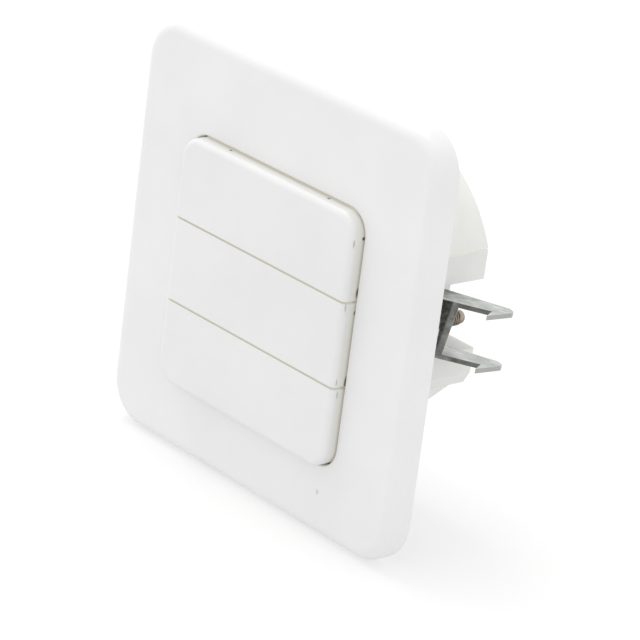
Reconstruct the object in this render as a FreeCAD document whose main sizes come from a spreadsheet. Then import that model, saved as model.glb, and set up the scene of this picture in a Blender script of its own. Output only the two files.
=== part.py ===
import FreeCAD, Part
import os

import Sketcher

# Flush-mounted remote wall switch: a square cover frame with three rocker keys in front, a steel
# mounting ring on the wall plane, and an insulated housing with two spreading claws behind it.
# Frame: X to the right seen from the front, Y from the room into the wall, Z up. The origin is the
# centre of the cover frame on the wall plane, so what faces the room has negative Y.

# Driving dimensions in millimetres and degrees: name, value, meaning
SIZES = [
    ("plate_side", 80.0, "width and height of the cover frame"),
    ("plate_depth", 5.0, "depth of the cover frame in front of the wall"),
    ("plate_corner", 8.5, "corner radius of the cover frame"),
    ("plate_round", 2.4, "rounding of its front edge"),
    ("plate_wall", 1.8, "wall of the cover frame"),
    ("opening_inset", 0.8, "key opening inside the housing's flats"),
    ("opening_corner", 4.5, "corner radius of the key opening"),
    ("opening_lead", 0.3, "softened front edge of the opening"),
    ("field_share", 0.1, "key field below the plate centre, as a share of body_half"),
    ("post_side", 5.0, "seat post of the cover frame"),
    ("post_inset", 11.0, "seat post inside the plate's edge, both ways"),
    ("blade_width", 8.0, "clip blade of the cover frame"),
    ("blade_thick", 1.0, "thickness of a clip blade"),
    ("blade_gap", 0.1, "clip blade from the ring's edge and the wall"),
    ("blade_place", 14.0, "clip blade from the middle"),
    ("key_gap", 0.35, "slit between keys and round them"),
    ("key_proud", 2.45, "keys stand in front of the cover frame"),
    ("key_wall", 1.2, "wall of a key"),
    ("key_skirt", 1.4, "skirt of a key behind the frame's front"),
    ("key_round", 1.1, "rounded outer front edge of the key field"),
    ("slit_round", 0.2, "softened edge of a key along a slit"),
    ("pivot_back", 1.1, "key pivot behind the frame's front"),
    ("pin_radius", 1.0, "pivot pin of a key"),
    ("pin_play", 0.05, "radial running clearance of a pin"),
    ("cheek_half", 4.0, "outer face of a pivot cheek from the key's middle"),
    ("cheek_thick", 1.2, "thickness of a cheek and of an ear"),
    ("cheek_width", 2.2, "half width of a cheek"),
    ("cheek_play", 0.3, "cheek to ear, and cheek to carrier"),
    ("ear_radius", 2.0, "rounded head of a carrier ear"),
    ("pusher_inset", 15.8, "pushers and switches inside the housing's flats"),
    ("pusher_radius", 1.5, "pusher moulded under a key"),
    ("pusher_gap", 0.65, "pusher to switch plunger at rest"),
    ("carrier_cut", 5.4, "key carrier narrower than the key opening"),
    ("carrier_over", 1.6, "key carrier higher than the key opening"),
    ("carrier_thick", 1.2, "thickness of the key carrier"),
    ("carrier_corner", 4.0, "corner radius of the key carrier"),
    ("ring_inset", 9.0, "mounting ring smaller than the cover frame"),
    ("ring_thick", 1.0, "sheet of the mounting ring"),
    ("ring_corner", 8.0, "corner radius of the ring"),
    ("window_land", 2.2, "window of the ring from the housing screws"),
    ("window_cut", 4.4, "window lower than the key opening"),
    ("window_corner", 2.0, "corner radius of that window"),
    ("box_inset", 11.0, "screw spacing of the wall box less than the ring"),
    ("box_hole", 1.8, "radius of a box screw hole"),
    ("slot_half", 2.4, "half the straight length of an oblong slot"),
    ("body_half", 25.0, "half the housing across its flats"),
    ("body_radius", 27.7, "round of the housing between its flats, as in a round wall box"),
    ("bevel_cut", 13.4, "bevel of the housing's lower corners, along each flat"),
    ("guide_rise", 10.6, "lower end of the claw guides inside the lower flat"),
    ("body_depth", 24.8, "housing depth behind the wall plane"),
    ("body_wall", 1.6, "wall of the housing"),
    ("body_round", 0.3, "rounding of the housing's rear edge"),
    ("seam_groove", 0.4, "groove where the upper rounds meet the side flats"),
    ("channel_deep", 8.2, "depth of a claw channel"),
    ("channel_share", 0.573, "share of a side flat that its claw channel takes"),
    ("channel_wall", 1.4, "wall round a claw channel"),
    ("claw_level", 0.6, "claws and channels below the plate centre"),
    ("claw_inset", 0.2, "claw screw inside the housing's flat"),
    ("claw_back", 13.42, "claw pivot in front of the housing's rear"),
    ("claw_swing", 37.7, "web of the claw from square, as it stands"),
    ("claw_roll", 4.6, "droop of the loose claw"),
    ("claw_sheet", 0.9, "sheet of a claw"),
    ("claw_clear", 1.0, "claw from the sides of its channel"),
    ("tail_reach", 4.2, "tail of a claw inside its pivot"),
    ("tail_back", 1.5, "tail corner behind the web's middle"),
    ("shoulder_reach", 1.2, "shoulder of an arm inside the pivot"),
    ("shoulder_back", 4.6, "shoulder behind the web's middle"),
    ("notch_reach", 11.4, "barb notch outside the pivot"),
    ("barb_reach", 10.9, "barb point outside the pivot"),
    ("barb_front", 2.9, "barb point in front of the web's middle"),
    ("tip_reach", 15.3, "tip outside the pivot"),
    ("tip_back", 1.4, "tip behind the web's middle"),
    ("nose_reach", 14.1, "nose of an arm outside the pivot"),
    ("nose_back", 2.7, "nose behind the web's middle"),
    ("nose_round", 0.8, "rounded tip of an arm"),
    ("web_reach", 4.9, "outer edge of the web from the pivot"),
    ("web_lean", 0.75, "lean of that edge over half the height"),
    ("slot_reach", 3.0, "slot for the screw, each side of the pivot"),
    ("slot_rise", 1.85, "half height of that slot"),
    ("screw_radius", 1.25, "claw screw shank under its thread"),
    ("thread_high", 0.2, "thread of a claw screw above its shank"),
    ("screw_short", 4.1, "tip of a claw screw in front of the housing's rear"),
    ("screw_tip", 0.8, "rounding of that tip"),
    ("screw_head", 2.7, "radius of a claw screw's head"),
    ("screw_head_high", 1.4, "height of that head"),
    ("head_round", 0.3, "rounding of the screw heads"),
    ("screw_play", 0.3, "radial clearance round a screw"),
    ("driver_width", 0.8, "driver slot in a screw head"),
    ("driver_depth", 0.6, "depth of a driver slot"),
    ("fix_inset", 8.9, "housing screws inside the flats, across"),
    ("fix_drop", 10.4, "housing screws inside the flats, up and down"),
    ("fix_radius", 1.3, "shank of a housing screw"),
    ("fix_length", 10.0, "shank length of a housing screw"),
    ("fix_head", 2.2, "radius of a housing screw's head"),
    ("fix_head_high", 1.0, "height of that head"),
    ("fix_play", 0.05, "screw in its boss"),
    ("boss_radius", 2.4, "screw boss in the housing"),
    ("boss_end", 9.2, "end of the bosses behind the wall plane"),
    ("rib_half", 0.6, "half thickness of the ribs from the bosses to the walls"),
    ("cover_thick", 1.6, "insulating cover of the housing"),
    ("cover_play", 0.15, "insulating cover in the housing's mouth"),
    ("plunger_radius", 1.7, "plunger of a key switch"),
    ("plunger_play", 0.5, "round a plunger where it passes a plate"),
    ("plunger_high", 3.5, "plunger in front of its switch body"),
    ("switch_side", 6.0, "square body of a key switch"),
    ("switch_high", 3.5, "height of that body"),
    ("board_depth", 5.4, "front of the control board behind the wall plane"),
    ("board_thick", 1.6, "circuit boards"),
    ("board_play", 0.3, "boards from the walls and bosses"),
    ("board_space", 3.0, "between the two boards"),
    ("ledge_width", 2.0, "board ledge on a channel wall"),
    ("ledge_half", 3.0, "half the length of a ledge"),
    ("radio_width", 14.0, "radio module across"),
    ("radio_high", 10.0, "radio module up and down"),
    ("radio_thick", 2.4, "radio module from its board"),
    ("radio_inset", 18.8, "middle of the radio module inside the left flat"),
    ("radio_drop", 11.0, "middle of the radio module inside the upper flat"),
    ("antenna_radius", 0.4, "antenna wire"),
    ("antenna_bend", 2.0, "bend of the antenna wire"),
    ("antenna_inset", 7.4, "upper run of the antenna inside the flat"),
    ("antenna_edge", 12.8, "side run of the antenna inside the flat"),
    ("antenna_drop", 5.0, "lower end of the antenna"),
    ("header_width", 15.2, "pin header across"),
    ("header_high", 2.5, "pin header up and down"),
    ("header_drop", 12.0, "middle of the pin header, down"),
    ("relay_count", 3, "relays side by side, one for each key"),
    ("relay_side", 1.6, "outer relays from the channel walls"),
    ("relay_cut", 32.0, "relay lower than the housing"),
    ("relay_room", 0.6, "relay from the rear wall"),
    ("relay_gap", 2.4, "between relays"),
    ("relay_space", 0.35, "relays above the terminal block"),
    ("relay_round", 0.5, "rounded edges of relays and capacitor"),
    ("capacitor_width", 18.0, "supply capacitor across"),
    ("capacitor_high", 7.0, "supply capacitor up and down"),
    ("capacitor_room", 1.6, "supply capacitor from the rear wall"),
    ("capacitor_inset", 8.5, "middle of the supply capacitor inside the flat"),
    ("terminal_pitch", 5.08, "terminals side by side"),
    ("terminal_high", 11.5, "terminal block up and down"),
    ("terminal_inset", 12.5, "middle of the terminal block inside the flat"),
    ("terminal_margin", 0.6, "terminal block beyond its last terminal"),
    ("entry_side", 3.4, "square wire entry"),
    ("entry_drop", 2.6, "wire entries below the block's middle"),
    ("entry_share", 0.69, "share of the block that a wire entry takes"),
    ("well_radius", 1.9, "well of a terminal screw"),
    ("well_rise", 2.9, "wells above the block's middle"),
    ("well_share", 0.52, "share of the block that a screw well takes"),
    ("clamp_radius", 1.7, "terminal screw"),
    ("clamp_high", 2.2, "terminal screw in its well"),
    ("overrun", 1.0, "how far a cut runs past the face that it opens"),
]
KEYS = ("top", "middle", "bottom")
SIDES = {"left": -1, "right": 1}
TERMINALS = 5
ROOT_TWO = "sqrt(2)"

os.makedirs("parts", exist_ok=True)
doc = FreeCAD.newDocument("WallSwitch")
sheet = doc.addObject("Spreadsheet::Sheet", "Sizes")
for row, (alias, number, meaning) in enumerate(SIZES, start=1):
    sheet.set(f"A{row}", meaning)
    sheet.set(f"B{row}", str(number))
    sheet.setAlias(f"B{row}", alias)
doc.recompute()


def size(name):
    """The expression that reads one driving dimension."""
    return f"Sizes.{name}"


def number(expression):
    """The present value of an expression, in millimetres or degrees."""
    return float(sheet.evalExpression(str(expression)))


# Levels along Y, from the front of the keys to the rear of the housing
PLATE_FRONT = "(-Sizes.plate_depth)"
PLATE_SKIN = "(Sizes.plate_wall - Sizes.plate_depth)"
KEY_FRONT = "(-Sizes.plate_depth - Sizes.key_proud)"
KEY_INNER = f"({KEY_FRONT} + Sizes.key_wall)"
KEY_BACK = "(Sizes.key_skirt - Sizes.plate_depth)"
PIVOT = "(Sizes.pivot_back - Sizes.plate_depth)"
RING_FRONT = "(-Sizes.ring_thick)"
CARRIER_FRONT = "(-Sizes.ring_thick - Sizes.carrier_thick)"
SWITCH_FRONT = "(Sizes.board_depth - Sizes.switch_high)"
PLUNGER_TOP = f"({SWITCH_FRONT} - Sizes.plunger_high)"
BOARD_BACK = "(Sizes.board_depth + Sizes.board_thick)"
POWER_FRONT = f"({BOARD_BACK} + Sizes.board_space)"
POWER_BACK = f"({POWER_FRONT} + Sizes.board_thick)"
REAR_WALL = "(Sizes.body_depth - Sizes.body_wall)"

# Places across the face, tied to the housing and the plate
BODY_BEVEL = "(Sizes.body_half - Sizes.bevel_cut)"
BODY_SEAM = "sqrt(Sizes.body_radius ^ 2 - Sizes.body_half ^ 2)"
GUIDE_LOW = "(Sizes.guide_rise - Sizes.body_half)"
CHANNEL_FLOOR = "(Sizes.body_half - Sizes.channel_deep)"
CHANNEL_HALF = f"(Sizes.channel_share * {BODY_BEVEL})"
CLAW_HALF = f"({CHANNEL_HALF} - Sizes.claw_clear)"
CLAW_SIDE = "(Sizes.body_half - Sizes.claw_inset)"
FIX_SIDE = "(Sizes.body_half - Sizes.fix_inset)"
FIX_RISE = "(Sizes.body_half - Sizes.fix_drop)"
PUSHER_SIDE = "(Sizes.body_half - Sizes.pusher_inset)"
OPENING = "(2 * (Sizes.body_half - Sizes.opening_inset))"
CARRIER_WIDTH = f"({OPENING} - Sizes.carrier_cut)"
CARRIER_HIGH = f"({OPENING} + Sizes.carrier_over)"
RIB_UPPER = f"(sqrt((Sizes.body_radius - Sizes.body_wall) ^ 2 - {FIX_RISE} ^ 2) + Sizes.body_wall / 2)"
RIB_LOWER = (f"(Sizes.body_half + {BODY_BEVEL} - Sizes.body_wall * {ROOT_TWO} - {FIX_RISE}"
             " + Sizes.body_wall / 2)")
WINDOW_WIDTH = f"(2 * ({FIX_SIDE} - Sizes.window_land))"
WINDOW_HIGH = f"({OPENING} - Sizes.window_cut)"
RING_SIDE = "(Sizes.plate_side - Sizes.ring_inset)"
POST_SIDE = "(Sizes.plate_side / 2 - Sizes.post_inset)"
BOX_PITCH = f"({RING_SIDE} - Sizes.box_inset)"
KEY_HIGH = f"(({OPENING} - 4 * Sizes.key_gap) / 3)"
KEY_HALF = f"({OPENING} / 2 - Sizes.key_gap)"
FIELD = "(-Sizes.field_share * Sizes.body_half)"
CLAW_Z = "(-Sizes.claw_level)"
CHANNEL_INNER = f"({CHANNEL_FLOOR} - Sizes.channel_wall)"

# Places on the boards
RADIO_SIDE = "(Sizes.body_half - Sizes.radio_inset)"
RADIO_RISE = "(Sizes.body_half - Sizes.radio_drop)"
ANTENNA_RISE = "(Sizes.body_half - Sizes.antenna_inset)"
ANTENNA_SIDE = "(Sizes.body_half - Sizes.antenna_edge)"
TERMINAL_DROP = "(Sizes.body_half - Sizes.terminal_inset)"
CAPACITOR_RISE = "(Sizes.body_half - Sizes.capacitor_inset)"
RELAY_HIGH = "(2 * Sizes.body_half - Sizes.relay_cut)"
RELAY_MIDDLE = f"(Sizes.terminal_high / 2 - {TERMINAL_DROP} + Sizes.relay_space + {RELAY_HIGH} / 2)"
RELAY_WIDTH = (f"((2 * ({CHANNEL_INNER} - Sizes.relay_side) - (Sizes.relay_count - 1) * Sizes.relay_gap)"
               " / Sizes.relay_count)")
RELAY_PITCH = f"({RELAY_WIDTH} + Sizes.relay_gap)"

# Depths that follow the housing
BLOCK_LENGTH = f"({REAR_WALL} - {POWER_BACK})"
RELAY_LENGTH = f"({BLOCK_LENGTH} - Sizes.relay_room)"
CAPACITOR_LENGTH = f"({BLOCK_LENGTH} - Sizes.capacitor_room)"
ENTRY_DEEP = f"(Sizes.entry_share * {BLOCK_LENGTH})"
WELL_DEEP = f"(Sizes.well_share * {BLOCK_LENGTH})"
SCREW_END = "(Sizes.body_depth - Sizes.screw_short)"
CLAW_DEPTH = "(Sizes.body_depth - Sizes.claw_back)"


def key_middle(index):
    """Height of a key's middle, counted from the top key."""
    return f"({FIELD} + {1 - index} * ({KEY_HIGH} + Sizes.key_gap))"


def new_body(name):
    body = doc.addObject("PartDesign::Body", name)
    body.Label = name
    body.AllowCompound = True
    return body


def rectangle(left, right, low, high):
    """Corners of an upright rectangle, in order round it."""
    return [(left, low), (right, low), (right, high), (left, high)]


def square_at(across, up, half_across, half_up):
    """Rectangle about a middle point."""
    return rectangle(
        f"({across} - {half_across})",
        f"({across} + {half_across})",
        f"({up} - {half_up})",
        f"({up} + {half_up})",
    )


def disc(across, up, radius):
    """Circle, as middle and radius."""
    return (across, up, radius)


def bind(sketch, kind, item, spot, expression):
    """Hold one coordinate of a sketch point at an expression."""
    constraint = Sketcher.Constraint(kind, -1, 1, item, spot, number(expression))
    index = sketch.addConstraint(constraint)
    name = f"{kind}{item}"
    sketch.renameConstraint(index, name)
    sketch.setExpression(f"Constraints.{name}", str(expression))


def draw_polygon(sketch, corners):
    first = sketch.GeometryCount
    count = len(corners)
    spots = [FreeCAD.Vector(number(across), number(up), 0) for across, up in corners]
    for index, spot in enumerate(spots):
        sketch.addGeometry(Part.LineSegment(spot, spots[(index + 1) % count]), False)
    for index, (across, up) in enumerate(corners):
        item = first + index
        after = first + (index + 1) % count
        sketch.addConstraint(Sketcher.Constraint("Coincident", item, 2, after, 1))
        bind(sketch, "DistanceX", item, 1, across)
        bind(sketch, "DistanceY", item, 1, up)


def draw_disc(sketch, across, up, radius):
    item = sketch.GeometryCount
    middle = FreeCAD.Vector(number(across), number(up), 0)
    up_axis = FreeCAD.Vector(0, 0, 1)
    sketch.addGeometry(Part.Circle(middle, up_axis, number(radius)), False)
    bind(sketch, "DistanceX", item, 3, across)
    bind(sketch, "DistanceY", item, 3, up)
    index = sketch.addConstraint(Sketcher.Constraint("Radius", item, number(radius)))
    sketch.renameConstraint(index, f"Radius{item}")
    sketch.setExpression(f"Constraints.Radius{item}", str(radius))


def sketch_at(body, plane, level, outlines):
    """Sketch parallel to an origin plane, at a level along X, Y or Z.

    The XZ plane faces -Y, so its level is turned round.
    """
    sketch = body.newObject("Sketcher::SketchObject", "Outline")
    support = [item for item in body.Origin.OriginFeatures if item.Role == f"{plane}_Plane"][0]
    sketch.AttachmentSupport = [(support, "")]
    sketch.MapMode = "FlatFace"
    turned = f"-({level})" if plane == "XZ" else str(level)
    sketch.setExpression("AttachmentOffset.Base.z", turned)
    for outline in outlines:
        if isinstance(outline, tuple):
            draw_disc(sketch, *outline)
        else:
            draw_polygon(sketch, outline)
    return sketch


def extrude(body, plane, outlines, low, high):
    """Add the outlines between two levels."""
    base = high if plane == "XZ" else low
    pad = body.newObject("PartDesign::Pad", "Pad")
    pad.Profile = sketch_at(body, plane, base, outlines)
    pad.setExpression("Length", f"({high}) - ({low})")
    doc.recompute()


def carve(body, plane, outlines, low, high):
    """Cut the outlines away between two levels."""
    before = body.Shape.Volume
    base = low if plane == "XZ" else high
    pocket = body.newObject("PartDesign::Pocket", "Pocket")
    pocket.Profile = sketch_at(body, plane, base, outlines)
    pocket.setExpression("Length", f"({high}) - ({low})")
    doc.recompute()
    if not body.Shape.Volume < before:
        raise RuntimeError(f"a cut in {body.Label} removes nothing")


def flat_at(edge, axis, level):
    """Whether an edge lies in the plane where one coordinate has this level."""
    box = edge.BoundBox
    low = getattr(box, f"{axis}Min")
    high = getattr(box, f"{axis}Max")
    return abs(low - level) < 1e-4 and abs(high - level) < 1e-4


def along(edge, axis):
    """Whether a straight edge runs along this axis."""
    if edge.Curve.TypeId != "Part::GeomLine":
        return False
    return abs(getattr(edge.Curve.Direction, axis.lower())) > 0.9999


def soften(body, radius, wanted, feature="Fillet"):
    """Round the edges of the body that pass the test."""
    base = body.Tip
    names = [f"Edge{index}" for index, edge in enumerate(base.Shape.Edges, start=1) if wanted(edge)]
    rounding = body.newObject(f"PartDesign::{feature}", "Round")
    rounding.Base = (base, names)
    rounding.setExpression("Radius", radius)
    doc.recompute()


def hollow(body, wall, axis, level):
    """Shell the body, open at the flat face where one coordinate has this level."""
    base = body.Tip
    names = []
    for index, face in enumerate(base.Shape.Faces, start=1):
        box = face.BoundBox
        if abs(getattr(box, f"{axis}Min") - level) < 1e-4 and abs(getattr(box, f"{axis}Max") - level) < 1e-4:
            names.append(f"Face{index}")
    shell = body.newObject("PartDesign::Thickness", "Shell")
    shell.Base = (base, names)
    shell.Reversed = True
    shell.Mode = 0
    shell.Join = 1
    shell.setExpression("Value", wall)
    doc.recompute()


def four_ways(across, up):
    """The four mirror images of a place."""
    return [(f"({sx} * ({across}))", f"({sz} * ({up}))") for sx in (-1, 1) for sz in (-1, 1)]


def housing_inside(inset):
    """Inside outline of the housing, drawn in by a clearance, with the two claw channels."""
    half = f"(Sizes.body_half - Sizes.body_wall - {inset})"
    reach = f"(Sizes.body_half + {BODY_BEVEL} - (Sizes.body_wall + {inset}) * {ROOT_TWO})"
    bevel = f"({reach} - {half})"
    inner = f"({CHANNEL_INNER} - {inset})"
    rise = f"({CLAW_Z} + {CHANNEL_HALF} + Sizes.channel_wall + {inset})"
    drop = f"({CLAW_Z} - {CHANNEL_HALF} - Sizes.channel_wall - {inset})"
    radius = f"(Sizes.body_radius - Sizes.body_wall - {inset})"
    shoulder = f"sqrt({radius} ^ 2 - {half} ^ 2)"
    middle = f"({radius} / {ROOT_TWO})"
    right = [
        (bevel, f"(-{half})"), (half, f"(-{bevel})"), (half, drop), (inner, drop),
        (inner, rise), (half, rise), (half, shoulder), (middle, middle), (shoulder, half),
    ]
    left = [(f"(-{across})", up) for across, up in reversed(right)]
    return right + left


def boss_ribs(inset):
    """Ribs that tie the screw bosses to the side walls, drawn out by a clearance."""
    ribs = []
    for side in SIDES.values():
        for turn, end in ((1, RIB_UPPER), (-1, RIB_LOWER)):
            left, right = sorted([f"({side} * {FIX_SIDE})", f"({side} * ({end} + {inset}))"], key=number)
            ribs.append(rectangle(left, right, f"({turn} * {FIX_RISE} - Sizes.rib_half - {inset})",
                                  f"({turn} * {FIX_RISE} + Sizes.rib_half + {inset})"))
    return ribs


# Cover frame: a shallow moulded tray open to the wall, with the key opening in its skin
def cover_frame():
    body = new_body("cover_frame")
    half = "(Sizes.plate_side / 2)"
    extrude(body, "XZ", [square_at("0", "0", half, half)], PLATE_FRONT, "0")
    soften(body, size("plate_corner"), lambda edge: along(edge, "Y"))
    soften(body, size("plate_round"), lambda edge: flat_at(edge, "Y", number(PLATE_FRONT)))
    hollow(body, size("plate_wall"), "Y", 0.0)
    opening = f"({OPENING} / 2)"
    carve(body, "XZ", [square_at("0", FIELD, opening, opening)],
          f"({PLATE_FRONT} - Sizes.overrun)", f"({PLATE_SKIN} + Sizes.overrun)")
    edge_x = number(opening)
    soften(body, size("opening_corner"),
           lambda edge: along(edge, "Y") and abs(abs(edge.CenterOfMass.x) - edge_x) < 1e-4)
    soften(body, size("opening_lead"),
           lambda edge: flat_at(edge, "Y", number(PLATE_FRONT)) and abs(edge.BoundBox.XMax) < edge_x + 1e-4
           and abs(edge.BoundBox.XMin) < edge_x + 1e-4)
    # Seat posts stand on the ring's face, clip blades run down past its edge
    posts = [square_at(across, up, "Sizes.post_side / 2", "Sizes.post_side / 2")
             for across, up in four_ways(POST_SIDE, POST_SIDE)]
    extrude(body, "XZ", posts, PLATE_SKIN, RING_FRONT)
    blade = f"({RING_SIDE} / 2 + Sizes.blade_gap + Sizes.blade_thick / 2)"
    blades = [square_at(across, up, "Sizes.blade_width / 2", "Sizes.blade_thick / 2")
              for across, up in four_ways(size("blade_place"), blade)]
    extrude(body, "XZ", blades, PLATE_SKIN, "(-Sizes.blade_gap)")


# Rocker keys: shells with a rounded outer rim, pivot cheeks with pins, and two pushers each
def rocker_key(index, name):
    body = new_body(f"key_{name}")
    middle = key_middle(index)
    half_high = f"({KEY_HIGH} / 2)"
    extrude(body, "XZ", [square_at("0", middle, KEY_HALF, half_high)], KEY_FRONT, KEY_BACK)
    top = number(f"{middle} + {half_high}")
    bottom = number(f"{middle} - {half_high}")
    rim = {"top": [top], "middle": [], "bottom": [bottom]}[name]
    slits = [level for level in (top, bottom) if level not in rim]
    if rim:
        soften(body, "Sizes.opening_corner - Sizes.key_gap",
               lambda edge: along(edge, "Y") and flat_at(edge, "Z", rim[0]))
    hollow(body, size("key_wall"), "Y", number(KEY_BACK))
    front = number(KEY_FRONT)
    soften(body, size("key_round"),
           lambda edge: flat_at(edge, "Y", front) and not any(flat_at(edge, "Z", z) for z in slits))
    back = number(KEY_BACK)
    soften(body, size("slit_round"),
           lambda edge: any(flat_at(edge, "Z", z) for z in slits) and not flat_at(edge, "Y", back))
    cheek_back = f"({CARRIER_FRONT} - Sizes.cheek_play)"
    for side in (-1, 1):
        cheek = f"({middle} + {side} * (Sizes.cheek_half - Sizes.cheek_thick / 2))"
        extrude(body, "XZ", [square_at("0", cheek, size("cheek_width"), "Sizes.cheek_thick / 2")],
                KEY_INNER, cheek_back)
        faces = [f"({middle} + {side} * Sizes.cheek_half)",
                 f"({middle} + {side} * (Sizes.cheek_half + Sizes.cheek_play + Sizes.cheek_thick))"]
        low, high = sorted(faces, key=number)
        extrude(body, "XY", [disc("0", PIVOT, size("pin_radius"))], low, high)
    pushers = [disc(f"({side} * {PUSHER_SIDE})", middle, size("pusher_radius"))
               for side in SIDES.values()]
    extrude(body, "XZ", pushers, KEY_INNER, f"({PLUNGER_TOP} - Sizes.pusher_gap)")


# Key carrier: plate behind the keys, with two bearing ears for each key
def key_carrier():
    body = new_body("key_carrier")
    extrude(body, "XZ", [square_at("0", FIELD, f"{CARRIER_WIDTH} / 2", f"{CARRIER_HIGH} / 2")],
            CARRIER_FRONT, RING_FRONT)
    soften(body, size("carrier_corner"), lambda edge: along(edge, "Y"))
    holes = [disc(across, up, "(Sizes.fix_radius + Sizes.screw_play)")
             for across, up in four_ways(FIX_SIDE, FIX_RISE)]
    for index in range(len(KEYS)):
        for side in SIDES.values():
            holes.append(disc(f"({side} * {PUSHER_SIDE})", key_middle(index),
                              "(Sizes.plunger_radius + Sizes.plunger_play)"))
    carve(body, "XZ", holes, f"({CARRIER_FRONT} - Sizes.overrun)", f"({RING_FRONT} + Sizes.overrun)")
    for index in range(len(KEYS)):
        for side in (-1, 1):
            faces = [f"({key_middle(index)} + {side} * (Sizes.cheek_half + Sizes.cheek_play))",
                     f"({key_middle(index)} + {side} * (Sizes.cheek_half + Sizes.cheek_play"
                     " + Sizes.cheek_thick))"]
            low, high = sorted(faces, key=number)
            extrude(body, "XY", [rectangle("(-Sizes.ear_radius)", size("ear_radius"), PIVOT, CARRIER_FRONT)],
                    low, high)
            extrude(body, "XY", [disc("0", PIVOT, size("ear_radius"))], low, high)
            carve(body, "XY", [disc("0", PIVOT, "(Sizes.pin_radius + Sizes.pin_play)")], low, high)


# Mounting ring: zinc-plated steel sheet on the wall plane
def mounting_ring():
    body = new_body("mounting_ring")
    half = f"({RING_SIDE} / 2)"
    extrude(body, "XZ", [square_at("0", "0", half, half)], RING_FRONT, "0")
    soften(body, size("ring_corner"), lambda edge: along(edge, "Y"))
    low = f"({RING_FRONT} - Sizes.overrun)"
    high = size("overrun")
    carve(body, "XZ", [square_at("0", "0", f"{WINDOW_WIDTH} / 2", f"{WINDOW_HIGH} / 2")], low, high)
    window_x = number(f"{WINDOW_WIDTH} / 2")
    soften(body, size("window_corner"),
           lambda edge: along(edge, "Y") and abs(abs(edge.CenterOfMass.x) - window_x) < 1e-4)
    holes = [disc("0", f"({side} * {BOX_PITCH} / 2)", size("box_hole")) for side in (-1, 1)]
    holes += [disc(across, up, "(Sizes.fix_radius + Sizes.screw_play)")
              for across, up in four_ways(FIX_SIDE, FIX_RISE)]
    holes += [disc(f"({side} * {CLAW_SIDE})", CLAW_Z,
                   "(Sizes.screw_radius + Sizes.thread_high + Sizes.screw_play)")
              for side in (-1, 1)]
    carve(body, "XZ", holes, low, high)
    # Oblong slots across the diagonals, on the pitch circle of the wall box
    place = f"({BOX_PITCH} / 2 / {ROOT_TWO})"
    run = f"(Sizes.slot_half / {ROOT_TWO})"
    width = f"(Sizes.box_hole / {ROOT_TWO})"
    for sx in (-1, 1):
        for sz in (-1, 1):
            corners = []
            for end, flank in ((-1, -1), (1, -1), (1, 1), (-1, 1)):
                corners.append((f"({sx} * ({place} + {end} * {run} + {flank} * {width}))",
                                f"({sz} * ({place} - {end} * {run} + {flank} * {width}))"))
            carve(body, "XZ", [corners], low, high)
            ends = [disc(f"({sx} * ({place} + {end} * {run}))", f"({sz} * ({place} - {end} * {run}))",
                         size("box_hole")) for end in (-1, 1)]
            for end in ends:
                carve(body, "XZ", [end], low, high)


# Insulating cover: closes the housing's mouth behind the ring, with holes for the plungers
def housing_cover():
    body = new_body("housing_cover")
    extrude(body, "XZ", [housing_inside(size("cover_play"))], "0", size("cover_thick"))
    holes = [disc(across, up, "(Sizes.fix_radius + Sizes.screw_play)")
             for across, up in four_ways(FIX_SIDE, FIX_RISE)]
    for index in range(len(KEYS)):
        for side in SIDES.values():
            holes.append(disc(f"({side} * {PUSHER_SIDE})", key_middle(index),
                              "(Sizes.plunger_radius + Sizes.plunger_play)"))
    carve(body, "XZ", holes, "(-Sizes.overrun)", "(Sizes.cover_thick + Sizes.overrun)")


def terminal_places():
    """Middles of the terminals, across."""
    middle = (TERMINALS - 1) / 2
    return [f"({index - middle} * Sizes.terminal_pitch)" for index in range(TERMINALS)]


ENTRY_Z = f"(-{TERMINAL_DROP} - Sizes.entry_drop)"
WELL_Z = f"(-{TERMINAL_DROP} + Sizes.well_rise)"


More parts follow.
